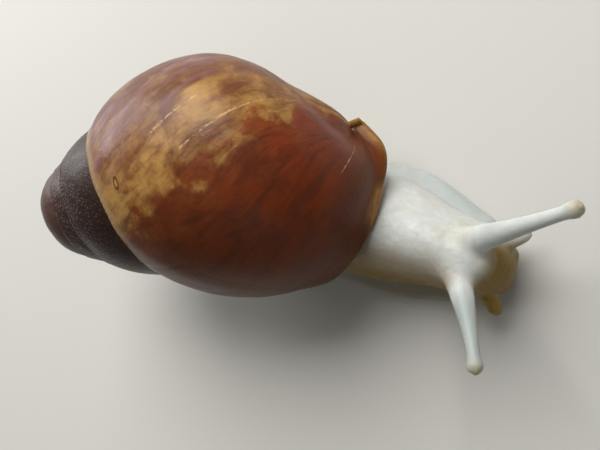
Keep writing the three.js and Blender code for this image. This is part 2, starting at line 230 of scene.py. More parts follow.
def growth_stage(age, turn, around):
    """The rim that made a point: constant along one growth line. The newest lines lean most."""
    y = np.sin(around) * swell(around)
    lean = SLANT - OLD_LEAN * (1 - smooth(turn, -0.3, 0))
    return age - lean * y * smooth(turn, -1.6, -0.9)


def wobble(x, seed):
    """Smooth noise of one number, between about -1 and 1."""
    x = np.asarray(x, float) + seed
    i = np.floor(x)
    k = x - i
    k = k * k * (3 - 2 * k)
    value = lambda n: np.modf(np.abs(np.sin(n * 12.9898 + seed * 78.233)) * 43758.5453)[0] * 2 - 1
    return value(i) * (1 - k) + value(i + 1) * k


def relief(turn, around, stage):
    """Height in mm of the growth lines, the slow waves, the flare of the lip and the waist before it."""
    size = shell_scale(turn)
    bent = stage + 0.004 * wobble(around * 5, 1)
    patchy = 0.6 + 0.4 * wobble(around * 4 + stage * 17, 13)
    lines = (0.03 * wobble(bent * 61, 3) + 0.02 * wobble(bent * 127, 11)) * patchy
    waves = 0.09 * wobble(bent * 17, 5) + 0.07 * wobble(around * 7 + stage * 29, 7)
    rests = sum(-depth * np.exp(-(((bent - at) / width) ** 2)) for at, depth, width in RESTS)
    base = smooth(-around, 1.6, 2.1)
    flare = 0.3 * smooth(turn, -0.035, 0) - 0.18 * np.exp(-(((turn + 0.05) / 0.018) ** 2))
    flare = flare + base * 1.1 * smooth(turn, -0.05, -0.008)
    waist = -0.55 * base * np.exp(-(((turn + 0.37) / 0.12) ** 2))
    return (lines + waves) * size + rests * patchy + flare + waist


def beads(turn, around, stage, below):
    """Height in mm of the fine beads in rows on the spire, and of the bigger ones along the seam.
    below is the distance under the seam in mm."""
    size = shell_scale(turn)
    row = below / BEAD_ROW + 0.35 * wobble(stage * 23, 17)
    along = stage * PLEATS + 0.5 * np.floor(row) + 0.4 * wobble(stage * 31 + below, 19)
    fine = np.clip(np.sin(math.pi * row) ** 2 * np.sin(math.pi * along) ** 2, 0, 1)
    spire = smooth(turn, -3.6, -2.4) * (1 - smooth(turn, -1.02, -0.9))
    near = np.exp(-np.clip(below - 0.4, 0, None) / 2.2) * smooth(below, -0.1, 0.3)
    worn = 0.55 + 0.45 * wobble(stage * 11 + below * 0.5, 23)
    pleats = np.sin(math.pi * stage * PLEATS + 0.6 * wobble(stage * 20, 2)) ** 2
    crown = np.exp(-(((below - 0.5) / 0.38) ** 2)) * pleats
    return 0.05 * fine * worn * (0.45 * spire + 0.55 * near) + 0.11 * crown * np.minimum(size * 1.6, 1)


print("rests in growth:", len(RESTS), "and the deepest groove in mm:", max(depth for at, depth, width in RESTS))

# %% [markdown]
# ## A sheet rolled along the spiral
# The shell's surface has two natural directions, along the growth and round the rim. A flat grid
# has the same two, so each part is a grid whose rows become rims: the operator makes the faces, and
# the growth law says where each row goes. Screwing a curve would be quicker, but couldn't change the
# size and the slant of the rim on the way. The same helper rolls the flesh and the feelers.

# %% A helper that rolls a grid
def rolled(place, maps=None):
    """A bmesh made of a grid whose corner (i, j) goes to place[i, j] in mm. Open ends are closed."""
    rows, columns = place.shape[0] - 1, place.shape[1] - 1
    bm = bmesh.new()
    bmesh.ops.create_grid(bm, x_segments=rows, y_segments=columns, size=0.5)
    corners = [(round((v.co.x + 0.5) * rows), round((v.co.y + 0.5) * columns)) for v in bm.verts]
    if maps is not None:
        uv = bm.loops.layers.uv.new("growth")
        index = {v: c for v, c in zip(bm.verts, corners)}
        for face in bm.faces:
            for loop in face.loops:
                loop[uv].uv = maps[index[loop.vert]]
    for v, (i, j) in zip(bm.verts, corners):
        v.co = Vector(place[i, j]) * MM
    bmesh.ops.remove_doubles(bm, verts=bm.verts, dist=0.002 * MM)
    bmesh.ops.dissolve_degenerate(bm, edges=bm.edges, dist=0.001 * MM)
    bmesh.ops.holes_fill(bm, edges=[e for e in bm.edges if e.is_boundary], sides=0)
    bmesh.ops.recalc_face_normals(bm, faces=bm.faces)
    return bm


def triangles(mesh):
    """How many triangles a mesh's faces make."""
    return sum(len(p.vertices) - 2 for p in mesh.polygons)


def piece(name, bm):
    """Keeps a bmesh as a smooth-shaded piece of the snail."""
    for face in bm.faces:
        face.smooth = True
    mesh = bpy.data.meshes.new(name)
    bm.to_mesh(mesh)
    bm.free()
    made = bpy.data.objects.new(name, mesh)
    bpy.context.scene.collection.objects.link(made)
    print(f"{name}: {triangles(mesh)} triangles")
    return made


# %% [markdown]
# A row's columns have to be spread round the rim. Even steps would do for a plain tube, but the
# beads at the seam need closer columns than the smooth flank, so the steps shrink towards the seam.

# %% Spread the columns of one rim
NEAR_SEAM = 4.0   # mm under the seam where the columns stand closer


def spread(turn, first, last, count, crowd):
    """Angles of count + 1 points at even distances along a section, closer together near the seam."""
    around = np.linspace(first, last, 400)
    age, radius, height = section(turn, around)
    step = np.hypot(np.diff(radius), np.diff(height))
    step = step + np.abs(np.diff(age)) * 2 * math.pi * np.abs(radius[1:]) * 0.3
    far = np.concatenate([[0], np.cumsum(step)])
    weight = far + crowd * (1 - np.exp(-far / NEAR_SEAM)) * NEAR_SEAM
    return np.interp(np.linspace(0, weight[-1], count + 1), weight, around)


def distance_below(turn, around):
    """Distance in mm under the seam along the section."""
    start = seam_angle(turn)
    dense = np.linspace(start + 0.12, min(float(around.min()), start - 0.2), 400)
    age, radius, height = section(turn, dense)
    far = np.concatenate([[0], np.cumsum(np.hypot(np.diff(radius), np.diff(height)))])
    zero = np.interp(-start, -dense, far)
    return np.interp(-around, -dense, far) - zero


half_turn = np.array([seam_angle(-0.5), floor_angle(-0.5)])
print("mm from the seam to the axis, half a turn back:", round(float(distance_below(-0.5, half_turn)[-1]), 1))

# %% [markdown]
# ## The spire
# The spire holds all but the last whorl. Its grid has a row every half degree or so, because the
# beads are only 0.6 mm apart, and the first tiny whorls need fewer. In each row the visible band
# gets most of the columns, the covered band a few, and a short inner side closes the ring.

# %% Roll the spire
TUCK = math.radians(5)     # how far a rim starts inside the older whorl
HIDDEN = math.radians(14)  # and how far it runs on under the newer one
WALL = 0.8                 # mm, thickness of the shell near the lip
OPEN_FROM = -1.25          # from this turn on a rim reaches down to the axis


def held_back(turn, around):
    """The newest rims curve back where they reach the base, so the mouth has a round corner there."""
    return 0.012 * smooth(-around, math.radians(112), math.radians(135)) * smooth(turn, -0.2, 0)


def pulled_in(radius, height, wall):
    """The outline in its half plane, moved in by the wall's thickness."""
    tangent = np.stack([np.gradient(radius), np.gradient(height)], -1)
    tangent /= np.linalg.norm(tangent, axis=1)[:, None] + 1e-9
    return radius + tangent[:, 1] * wall, height - tangent[:, 0] * wall


def rim(turn, bands, inner, wall=0.0, crowd=0.0):
    """One rim as positions in mm and map values. bands are (first, last, columns), and inner columns
    close the ring along the pillar. With a wall the rim is the inside of the shell, without relief."""
    angles = [spread(turn, first, last, count, crowd) for first, last, count in bands]
    around = np.concatenate([angles[0]] + [a[1:] for a in angles[1:]])
    below = distance_below(turn, around)
    back = held_back(turn, around)
    age, radius, height = section(turn - back, around)
    stage = growth_stage(age + back, turn, around)
    if not wall:
        lift = relief(turn - back, around, stage) + beads(turn, around, stage, below)
        age, radius, height = section(turn - back, around, lift)
    clearance = axis_clearance(turn)
    radius, height = on_egg(age, np.maximum(radius, clearance), height)
    if wall:
        radius, height = pulled_in(radius, height, wall)
    radius = np.maximum(radius, clearance)
    k = np.linspace(0, 1, inner + 1)[1:]
    ages, radii, heights = (line[-1] + (line[0] - line[-1]) * k for line in (age, radius, height))
    if turn > OPEN_FROM:
        climb = max(section(turn - 1, np.array([floor_angle(turn - 1)]))[2][0] + 1.5, height[-1])
        radii = np.interp(k, [0, 0.5, 1], [radius[-1], AXIS_CLEARANCE + 0.4 + wall, radius[0]])
        heights = np.interp(k, [0, 0.5, 1], [height[-1], climb, height[0]])
    points = in_space(np.append(age, ages), np.append(radius, radii), np.append(height, heights))
    maps = np.stack([np.append(line, np.full(inner, line[-1])) for line in (stage, below)], -1)
    return points, maps


def spire_rim(turn):
    """62 columns that show, 14 under the next whorl and 6 to close the ring."""
    first = seam_angle(turn) + TUCK * 1.4
    cover = cover_angle(turn)
    whole = float(smooth(turn, OPEN_FROM - 0.2, OPEN_FROM))
    last = (cover - HIDDEN) * (1 - whole) + floor_angle(turn) * whole
    return rim(turn, [(first, cover, 62), (cover, last, 14)], 6)


spire_turns = np.concatenate([np.linspace(FIRST + 0.0005, -2.2, 320)[:-1], np.linspace(-2.2, -1, 760)])
spire_rims = [spire_rim(t) for t in spire_turns]
spire_places, spire_maps = (np.stack(part) for part in zip(*spire_rims))
spire = piece("spire", rolled(spire_places, spire_maps))

# %% [markdown]
# ## The body whorl and its lip
# The last whorl is most of what shows. Its sheet ends at the lip, turns over a rounded edge and
# runs back inside the mouth as the thin inner wall, so the shell has its real thickness there. An
# even thickness from Solidify would do too, but would also fill the inside with faces nobody sees.

# %% Roll the body whorl
LIP_RADIUS = 0.55                       # mm, of the rounded edge
LIP_ANGLES = (20, 45, 70, 90, 110, 135, 160, 180)
LIP_TURN, JUST_BEFORE = -0.013, -0.017  # the last rim, and the one that gives its direction
BODY_COLUMNS, INNER_COLUMNS, CROWD = 176, 10, 1.2
ON_LIP, INSIDE = (0.02, 0), (1, 0)      # added to the map, so the material knows the edge and the inside


def body_rim(turn, wall=0.0):
    """One rim of the body whorl, or with a wall one of its inside."""
    first = seam_angle(turn) + TUCK
    return rim(turn, [(first, floor_angle(turn), BODY_COLUMNS)], INNER_COLUMNS, wall, CROWD)


def lip_edge(rim_now, rim_before):
    """Rims that turn over the edge of the shell in a half circle."""
    forward = rim_now - rim_before
    forward /= np.linalg.norm(forward, axis=1)[:, None]
    side = np.gradient(rim_now, axis=0)
    outward = np.cross(side, forward)
    outward /= np.linalg.norm(outward, axis=1)[:, None]
    forward = np.cross(outward, side)
    forward /= np.linalg.norm(forward, axis=1)[:, None]
    middle = np.median(rim_now, axis=0)
    if np.mean(np.sum(outward * (rim_now - middle), axis=1)) < 0:
        outward = -outward
    if np.mean(np.sum(forward * (rim_now - rim_before), axis=1)) < 0:
        forward = -forward
    return [rim_now - outward * LIP_RADIUS * (1 - math.cos(angle)) + forward * LIP_RADIUS * math.sin(angle)
            for angle in np.radians(LIP_ANGLES)]


body_rims = [body_rim(t) for t in np.linspace(-1, LIP_TURN, 334)]
last_place, last_map = body_rims[-1]
body_rims += [(place, last_map + ON_LIP) for place in lip_edge(last_place, body_rim(JUST_BEFORE)[0])]
for turn in (-0.021, -0.034, -0.052, *np.linspace(-0.07, -0.22, 10)):
    place, mapped = body_rim(turn, WALL)
    body_rims.append((place, mapped + INSIDE))
body_places, body_maps = (np.stack(part) for part in zip(*body_rims))
body_whorl = piece("body_whorl", rolled(body_places, body_maps))

# %% [markdown]
# ## The pillar
# The whorls wind round a solid pillar, the columella. Its end fills the corner where the lip comes back
# to the axis. It could be a screwed curve, but a grid of rings that are a little out of round, each
# turned on from the last, gives the same twist with the helper that is already here.

# %% Twist the columella
PILLAR_START, PILLAR_END = 12, 51.6   # mm below the shell's tip, along the axis
PILLAR_RADIUS, END_RADIUS, TWIST = 1.7, 1.0, 0.22   # mm, mm and radians per mm

ring = np.linspace(0, 2 * math.pi, 25)
pillar_places = []
for under_tip in np.linspace(PILLAR_START, PILLAR_END, 40):
    taper = END_RADIUS + (PILLAR_RADIUS - END_RADIUS) * float(smooth(48.6 - under_tip, 0, 3))
    taper *= float(smooth(PILLAR_END + 0.3 - under_tip, 0, 1.6)) ** 0.5
    radius = taper * (1 + 0.12 * np.cos(ring - under_tip * TWIST))
    flat = np.stack([radius * np.cos(ring), radius * np.sin(ring)], -1)
    pillar_places.append(SHELL_TIP - AXIS * under_tip + flat @ np.array([LEVEL, SQUARE]))
columella = piece("columella", rolled(np.stack(pillar_places)))

# %% [markdown]
# ## The flesh, as overlapping forms
# A snail has one soft skin, but it helps to think of what is under it: a long flat foot, the trunk
# and neck lying on it, a collar of flesh that fills the shell's mouth, a blunt head with two mouth
# lobes, and four feelers. Each is rolled from a grid with its own outline. They are then fused into
# one skin, because a join between pieces would show as a crack at every crease.

# %% A curve through a few knots
HEAD_SHIFT = 0.9   # mm, how far the head stands to the right of the middle line


def through(*knots):
    """A smooth function of x through (x, y) knots."""
    x, y = np.array(knots, float).T
    low = np.maximum(np.arange(len(x)) - 1, 0)
    high = np.minimum(np.arange(len(x)) + 1, len(x) - 1)
    slope = (y[high] - y[low]) / (x[high] - x[low])

    def value(at):
        at = np.clip(at, x[0], x[-1])
        i = np.clip(np.searchsorted(x, at, side="right") - 1, 0, len(x) - 2)
        span = x[i + 1] - x[i]
        k = (at - x[i]) / span
        bend = slope[i] * k * (1 - k) ** 2 - slope[i + 1] * k * k * (1 - k)
        return y[i] + (y[i + 1] - y[i]) * k * k * (3 - 2 * k) + bend * span

    return value


def body_centre(x):
    """The middle line of the body, in mm to the left."""
    return -HEAD_SHIFT * smooth(x, 18, 35)


print("middle line at the neck and the head, in mm:", [round(float(body_centre(x)), 2) for x in (24, 33)])

# %% [markdown]
# The foot and the trunk are lofted along the snail. At each step along x an oval gets its width, its
# top and the height of its widest place from three curves, and near the ends it shrinks to a point.

# %% Foot, trunk and head
LOFT_ROWS, LOFT_COLUMNS = 90, 64
ROUNDING = 5.0   # mm over which the ends are rounded


def loft(start, end, half_width, top, widest, bottom):
    """A long form along x with rounded ends, as a grid of section points."""
    around = np.linspace(0, 2 * math.pi, LOFT_COLUMNS + 1)
    side, rise = np.cos(around), np.sin(around)
    places = np.zeros((LOFT_ROWS + 1, LOFT_COLUMNS + 1, 3))
    for i, k in enumerate(np.linspace(0, math.pi, LOFT_ROWS + 1)):
        x = start + (end - start) * (1 - math.cos(k)) / 2
        to_end = min(min(x - start, end - x) / ROUNDING, 1)
        full = math.sqrt(max(1 - (1 - to_end) ** 2, 0))
        reach = np.where(rise > 0, top(x) - widest(x), widest(x) - bottom)
        places[i, :, 0] = x
        places[i, :, 1] = body_centre(x) + half_width(x) * side * full
        places[i, :, 2] = widest(x) + reach * rise * full
    return rolled(places)


foot = loft(-36, 34.8, bottom=-1.2, widest=lambda x: 0.5,
            top=through((-36, 1.6), (-16, 2.2), (14, 2.2), (34.8, 1.8)),
            half_width=through((-36, 2.4), (-28, 5.6), (-16, 8.6), (-2, 10.1), (12, 10.3), (20, 9.9), (28, 7.3),
                               (34.8, 5.2)))
trunk = loft(-35, 36, bottom=-1, widest=through((-35, 1.2), (-10, 2.0), (14, 3.0), (26, 3.6), (36, 4.2)),
             top=through((-35, 2.2), (-26, 4.0), (-15, 6.2), (-5, 11), (6, 12.4), (14, 12.4), (20, 13.4),
                         (26, 13.2), (31, 12.2), (36, 9.6)),
             half_width=through((-35, 1.5), (-26, 3.8), (-12, 6.6), (4, 8.6), (14, 8.5), (20, 7.4), (26, 5.9),
                                (31, 5.4), (36, 5.0)))
print("faces of the foot and the trunk:", len(foot.faces), len(trunk.faces))

# %% [markdown]
# The collar is flesh pressed against the inside of the shell, so it is rolled from the shell's own
# rims, a little further in than the wall. Near the lip it draws back, with a rounded edge.

# %% The collar in the shell's mouth
COLLAR_GAP, COLLAR_EDGE = 0.25, 1.6   # mm between the wall and the collar, and how far the edge draws back

collar_rims = []
for turn in np.linspace(-0.18, -0.028, 24):
    drawn_back = COLLAR_EDGE * float(smooth(turn, -0.045, -0.028)) ** 2
    collar_rims.append(body_rim(turn, WALL + COLLAR_GAP + drawn_back)[0])
collar = rolled(np.stack(collar_rims))
print("faces of the collar:", len(collar.faces))

# %% [markdown]
# ## Feelers and the head's soft shapes
# The upper feelers are long tubes that thicken to the root and end in a knob with the eye on it. The
# lower ones are short and point to the ground. Each follows a curve bent by one handle, so a change
# of pose is a change of three points.

# %% Bend the feelers
FEELER_COLUMNS = 28


def feeler(root_at, handle, tip, root, stalk, knob, rows):
    """A tube with a knob, along a bent line. root, stalk and knob are its radii in mm."""
    a, b, c = (np.array(p, float) for p in (root_at, handle, tip))
    fine = np.linspace(0, 1, 200)[:, None]
    line = a * (1 - fine) ** 2 + 2 * b * fine * (1 - fine) + c * fine**2
    far = np.concatenate([[0], np.cumsum(np.linalg.norm(np.diff(line, axis=0), axis=1))])
    length = far[-1]
    end = knob / length
    around = np.linspace(0, 2 * math.pi, FEELER_COLUMNS + 1)[:, None]
    places = np.zeros((rows + 1, FEELER_COLUMNS + 1, 3))
    for i, k in enumerate(np.linspace(0, 1, rows + 1)):
        u = 1 - (1 - k) ** 1.35
        t = np.interp(u * length, far, fine[:, 0])
        centre = a * (1 - t) ** 2 + 2 * b * t * (1 - t) + c * t**2
        ahead = 2 * (b - a) * (1 - t) + 2 * (c - b) * t
        ahead /= np.linalg.norm(ahead)
        level = np.cross([0, 0, 1], ahead)
        level /= np.linalg.norm(level)
        square = np.cross(ahead, level)
        narrowed = 1 - (1 - min(u / 0.88, 1)) ** 1.7
        radius = root + (stalk - root) * narrowed + (knob - stalk) * smooth(u, 0.86, 1 - end * 0.8)
        full = math.sqrt(max(1 - (1 - min(min(u, 1 - u) / end, 1)) ** 2, 0))
        places[i] = centre + radius * full * (np.cos(around) * level + np.sin(around) * square)
    return rolled(places)


UPPER = dict(root=2.3, stalk=0.9, knob=1.15, rows=60)
LOWER = dict(root=1.3, stalk=0.95, knob=1.1, rows=30)
UPPER_PATHS = {"left": ((29.3, 1.4, 10.2), (36.6, 5.2, 16.8), (42.9, 9.1, 22.0)),
               "right": ((29.2, -2.9, 10.2), (33.4, -7.2, 15.1), (36.8, -13.5, 18.2))}
LOWER_PATHS = {"left": ((32.4, 1.7, 6.4), (35.1, 3.9, 5.7), (36.4, 5.3, 4.4)),
               "right": ((32.0, -3.4, 6.4), (34.2, -5.6, 5.6), (35.5, -7.3, 4.2))}
feelers = [feeler(*path, **UPPER) for path in UPPER_PATHS.values()]
feelers += [feeler(*path, **LOWER) for path in LOWER_PATHS.values()]
print("faces of the feelers:", [len(bm.faces) for bm in feelers])

# %% [markdown]
# A lobe hangs on each side of the mouth, and a smooth dome lies between the upper feelers' roots.
# Squashed spheres are enough for both, because the skin that wraps them rounds off where they meet.

# %% Mouth lobes and brow
LOBE_X = 34.3


def dome(segments, rings, half_sizes, centre):
    """A squashed sphere, in mm."""
    bm = bmesh.new()
    bmesh.ops.create_uvsphere(bm, u_segments=segments, v_segments=rings, radius=1)
    bmesh.ops.scale(bm, vec=[size * MM for size in half_sizes], verts=bm.verts)
    bmesh.ops.translate(bm, vec=Vector(centre) * MM, verts=bm.verts)
    return bm


lobes = [dome(24, 16, (1.6, 1.7, 1.5), (LOBE_X, body_centre(LOBE_X) + side, 4.1)) for side in (1.9, -1.9)]
brow = dome(32, 20, (4.8, 4.3, 3.65), (29.2, -0.8, 9.5))
print("faces of a lobe and of the brow:", len(lobes[0].faces), len(brow.faces))

# %% [markdown]
# ## Fusing the flesh into one skin
# The forms overlap, so a voxel remesh can wrap them in one closed skin. A boolean union would keep a
# hard line where they cross. The remesh gives even faces, and smoothing them rounds each crease as
# flesh does. The sole is then laid flat on the floor.

# %% Fuse and smooth
VOXEL = 0.27   # mm
SMOOTH = dict(factor=0.5, use_axis_x=True, use_axis_y=True, use_axis_z=True)
ROOTS = [Vector(path[0]) for path in (*UPPER_PATHS.values(), *LOWER_PATHS.values())]
REACH = (4.2, 4.2, 1.9, 1.9)   # mm round the roots of the upper feelers, then of the lower ones

joined = bmesh.new()
for form in [foot, trunk, collar, brow] + feelers + lobes:
    mesh = bpy.data.meshes.new("form")
    form.to_mesh(mesh)
    form.free()
    joined.from_mesh(mesh)
    bpy.data.meshes.remove(mesh)
skin = piece("skin", joined)
wrap = skin.modifiers.new("one skin", "REMESH")
wrap.mode, wrap.voxel_size, wrap.adaptivity = "VOXEL", VOXEL * MM, 0
wrapped = bpy.data.meshes.new_from_object(skin.evaluated_get(bpy.context.evaluated_depsgraph_get()))
skin.modifiers.clear()
skin.data = wrapped

bm = bmesh.new()
bm.from_mesh(skin.data)
for i in range(6):
    bmesh.ops.smooth_vert(bm, verts=bm.verts, **SMOOTH)
near_roots = [v for v in bm.verts if min((v.co / MM - root).length / reach for root, reach in zip(ROOTS, REACH)) < 1]
for i in range(36):
    bmesh.ops.smooth_vert(bm, verts=near_roots, **SMOOTH)
bm.normal_update()
print("corners smoothed round the feelers' roots:", len(near_roots))

# %% [markdown]
# ## Warts, wrinkles and shades
# Snail skin is a mosaic of low warts, a millimetre or so apart, with grooves between them. They are large
# on the back and sides and fade to nothing on the feelers and the sole's rim. Each corner is
# moved along its normal by a cell pattern. Four shades are kept with it for the material, as one colour:
# the feelers' knobs, painted shade in the grooves, a warm tone with painted shade on the face, the low right
# flank and round the mouth, and the thin rim of the foot.

# %% Raise the warts
def warts(at, spacing):
    """0 in the grooves and 1 on top of a wart."""
    near, places = noise.voronoi(at / spacing, distance_metric="DISTANCE")
    return min((near[1] - near[0]) / 0.55, 1.0)


def how_rough(at):
    """How much of the pattern shows at a place in mm: most on the back and near the shell."""
    on_feeler = smooth(at.z, 11.5, 14.5) * smooth(at.x, 28, 31)
    on_head = smooth(at.x, 31.5, 34)
    on_rim = 1 - smooth(at.z, 0.8, 3.0)
    return float((1 - 0.85 * on_feeler) * (1 - 0.6 * on_head) * (1 - 0.75 * on_rim))


def warm_tone_and_painted_shade(at):
    """How much warm brown is laid on at a place in mm: a warm tone with painted shade on the face, and painted shade
    low on the right flank and round the mouth.
    """
    # painted shade: warm brown on the shaded right side, low on the flank, on the face and round the mouth
    shaded_side = 1 - 0.75 * float(smooth(at.y, 1.0, 4.5))
    on_face = float(smooth(at.x, 29.5, 33) * (1 - smooth(at.z, 10.0, 13.0))) * shaded_side
    right_side = float(smooth(body_centre(at.x) - at.y, 0.6, 4.4))
    beside_feeler = float(smooth((at - Vector((31.8, -5.6, 13.0))).length, 1.6, 3.4))
    low_down = (0.6 + 0.4 * float(1 - smooth(at.z, 8, 12.5))) * (0.45 + 0.55 * float(smooth(at.z, 2, 5)))
    shaded_flank = float((1 - smooth(at.z, 13, 15)) * smooth(at.x, -4, 16)) * right_side * beside_feeler * low_down
    shaded_mouth = float(smooth(at.x, 32, 34)) * float(1 - smooth(at.z, 5.5, 7)) * float(smooth(-at.y, -1, 2))
    return max(on_face * (1 - 0.35 * float(smooth(-at.y, 4.0, 6.0))), shaded_flank, 0.6 * shaded_mouth)


def thinness(at):
    """How far light comes through at a place in mm: on the foot's rim and the feelers."""
    on_rim = 0.8 * float(1 - smooth(at.z, 1.0, 2.6))
    on_feeler = (0.5 if at.y > 0 else 1.0) * float(smooth(at.z, 12.5, 15.5) * smooth(at.x, 29, 32))
    return max(on_rim, on_feeler)


KNOBS = [Vector(path[2]) for path in UPPER_PATHS.values()]
HEIGHT = 0.05   # mm, of a wart and of a wrinkle
shades = []
for v in bm.verts:
    at = v.co / MM
    stretched = Vector((at.x * 0.72, at.y, at.z))
    wart = 0.65 * warts(stretched, 1.15) + 0.35 * warts(stretched, 0.6)
    rough = how_rough(at)
    wrinkle = noise.noise(Vector((at.x * 0.9, at.y * 0.25, at.z * 0.25)))
    v.co += v.normal * MM * rough * (HEIGHT * (wart - 0.6) + HEIGHT * wrinkle)
    knob = min((at - k).length for k in KNOBS)
    # the second shade, (1 - wart) * rough, is painted shade in the grooves between the warts
    shades.append((float(1 - smooth(knob, 0.6, 2.6)), (1 - wart) * rough, warm_tone_and_painted_shade(at), thinness(at)))
    v.co.z = max(v.co.z, 0.0)
for face in bm.faces:
    face.smooth = True
bm.to_mesh(skin.data)
bm.free()
kept = skin.data.color_attributes.new("shades", "FLOAT_COLOR", "POINT")
kept.data.foreach_set("color", np.array(shades, np.float32).ravel())
print("skin:", len(skin.data.vertices), "vertices and", triangles(skin.data), "triangles")

# %% [markdown]
# ## Eyes
# Each eye is a small bead at the end of the upper feeler's knob. In this pale form it has almost no
# dark pigment, so it shows as a smooth glassy dome. It is its own piece, as a real eye is.

# %% Set the eyes
EYE_RADIUS, PROUD = 0.5, 0.02   # mm, and how far an eye stands out of the knob


def eye(side):
    root_at, handle, tip = (Vector(p) for p in UPPER_PATHS[side])
    ahead = (tip - handle).normalized()
    bm = bmesh.new()
    bmesh.ops.create_uvsphere(bm, u_segments=32, v_segments=20, radius=EYE_RADIUS * MM)
    bmesh.ops.rotate(bm, verts=bm.verts, cent=(0, 0, 0), matrix=ahead.to_track_quat("Z", "Y").to_matrix())
    bmesh.ops.translate(bm, verts=bm.verts, vec=(tip + ahead * (PROUD - EYE_RADIUS)) * MM)
    return piece(side + "_eye", bm)


eyes = {side: eye(side) for side in UPPER_PATHS}

# %% [markdown]
# ## Colours and a node helper
# Colours are given as hex values, and a shader wants linear light, so one function turns them.
# Every material below is built from nodes with one helper, which adds a node, sets it and links it.

# %% Helpers for the materials
def srgb(text):
    """A hex colour as linear light."""
    channels = [int(text[i:i + 2], 16) / 255 for i in (1, 3, 5)]
    return [c / 12.92 if c <= 0.04045 else ((c + 0.055) / 1.055) ** 2.4 for c in channels] + [1.0]


def add(tree, kind, links=None, values=None, stops=None, **settings):
    """Adds a node. links and values are by input name or number, stops are (position, hex) of a ramp."""
    made = tree.nodes.new(kind)
    for name, value in settings.items():
        setattr(made, name, value)
    for name, value in (values or {}).items():
        made.inputs[name].default_value = srgb(value) if isinstance(value, str) else value
    for name, output in (links or {}).items():
        tree.links.new(output, made.inputs[name])
    if stops:
        ramp = made.color_ramp.elements
        for position, colour in stops[1:-1]:
            ramp.new(position).color = srgb(colour)
        ramp[0].position, ramp[0].color = stops[0][0], srgb(stops[0][1])
        ramp[len(ramp) - 1].position, ramp[len(ramp) - 1].color = stops[-1][0], srgb(stops[-1][1])
    return made


def new_material(name):
    """A material with its tree, and the place on the piece in mm, which most patterns are laid on."""
    made = bpy.data.materials.new(name)
    made.use_nodes = True
    tree = made.node_tree
    tree.nodes.clear()
    place = add(tree, "ShaderNodeTexCoord").outputs["Object"]
    place_mm = add(tree, "ShaderNodeVectorMath", {0: place}, {1: (1 / MM,) * 3}, operation="MULTIPLY").outputs[0]
    return made, tree, place_mm


def stage_stops(stages, oldest, newest):
    """Ramp stops from growth stages."""
    return [((at - oldest) / (newest - oldest), colour) for at, colour in stages]


print("golden brown as linear light:", [round(c, 3) for c in srgb("#a8804e")])

# %% [markdown]
# ## The body whorl's material: snail shell, grown and covered with its thin horny skin
# A snail lays colour down at the rim as it grows, so every mark is an old rim: the colour is a ramp
# over the growth stage, and the streaks are noise drawn out along the growth lines. The horny skin
# gives a soft gloss over it, a little uneven where it has worn. A painted image could hold
# the marks too, but only marks tied to the growth stage stay right from all sides.

# %% Colour of the body whorl
horn, tree, place_mm = new_material("grown shell under horny skin, body whorl")
growth = add(tree, "ShaderNodeUVMap", uv_map="growth").outputs[0]
axes = add(tree, "ShaderNodeSeparateXYZ", {0: growth})
stage, below = axes.outputs["X"], axes.outputs["Y"]

# bands wander by up to a few hundredths of a turn, but stay sharp at the lip
cloud = add(tree, "ShaderNodeTexNoise", {"Vector": place_mm}, {"Scale": 1 / 5, "Detail": 4.0, "Roughness": 0.6})
reach = add(tree, "ShaderNodeMapRange", {"Value": stage},
            {"From Min": -0.3, "From Max": -0.01, "To Min": 0.22, "To Max": 0.012})
off = add(tree, "ShaderNodeMath", {0: cloud.outputs["Fac"]}, {1: 0.5}, operation="SUBTRACT")
wander = add(tree, "ShaderNodeMath", {0: off.outputs[0], 1: reach.outputs[0], 2: stage},
             operation="MULTIPLY_ADD").outputs[0]

# the newest, amber shell is wider in two places along the lip
for start, end, shift in ((31, 34, 0.042), (37.5, 40, -0.042), (43, 46, 0.03)):
    wider = add(tree, "ShaderNodeMapRange", {"Value": below}, {"From Min": start, "From Max": end, "To Max": shift})
    wander = add(tree, "ShaderNodeMath", {0: wander, 1: wider.outputs[0]}, operation="ADD").outputs[0]
OLDEST, NEWEST = -1.05, 0.03
along = add(tree, "ShaderNodeMapRange", {"Value": wander}, {"From Min": OLDEST, "From Max": NEWEST})
bands = add(tree, "ShaderNodeValToRGB", {0: along.outputs[0]}, stops=stage_stops(
    [(-1.0, "#3c271d"), (-0.86, "#462c1e"), (-0.68, "#573824"), (-0.56, "#5a3a26"), (-0.47, "#5e3c25"),
     (-0.4, "#7b5531"), (-0.345, "#ab8147"), (-0.325, "#a3763d"), (-0.302, "#804020"), (-0.25, "#7d3418"),
     (-0.16, "#743110"), (-0.085, "#5e2b0b"), (-0.036, "#602e0b"), (-0.016, "#643410"), (0.004, "#7a4d1f"),
     (0.018, "#9c6f34")], OLDEST, NEWEST))
print("bands:", len(bands.color_ramp.elements), "stops")

# %% [markdown]
# Over the bands lie streaks of two colours, brown flames and pale violet ones, and irregular patches.
# The pale violet is partly the shell's own streaks and partly a painted sheen on the older shell.
# Streaks are about 2 mm wide and 7 to 9 mm long, so their noise has about 50 steps per turn (a turn is
# about 90 mm) and 0.11 to 0.14 per mm along the rim. The fine lines are drawn out in the same way.

# %% Streaks and patches
DRAWN_OUT = {"flames": ((46, 0.14, 1), 3.0, {"Detail": 5.0, "Roughness": 0.62, "Distortion": 0.6}),
             "violet": ((52, 0.11, 1), 21.0, {"Detail": 5.0, "Roughness": 0.65, "Distortion": 0.4}),
             "lines": ((330, 0.35, 1), 5.0, {"Detail": 4.0, "Roughness": 0.6})}
drawn = {}
for mark, (steps, shift, settings) in DRAWN_OUT.items():
    on_map = add(tree, "ShaderNodeVectorMath", {0: growth}, {1: steps, 2: (shift,) * 3}, operation="MULTIPLY_ADD")
    drawn[mark] = add(tree, "ShaderNodeTexNoise", {0: on_map.outputs[0]}, {"Scale": 1.0, **settings}).outputs["Fac"]

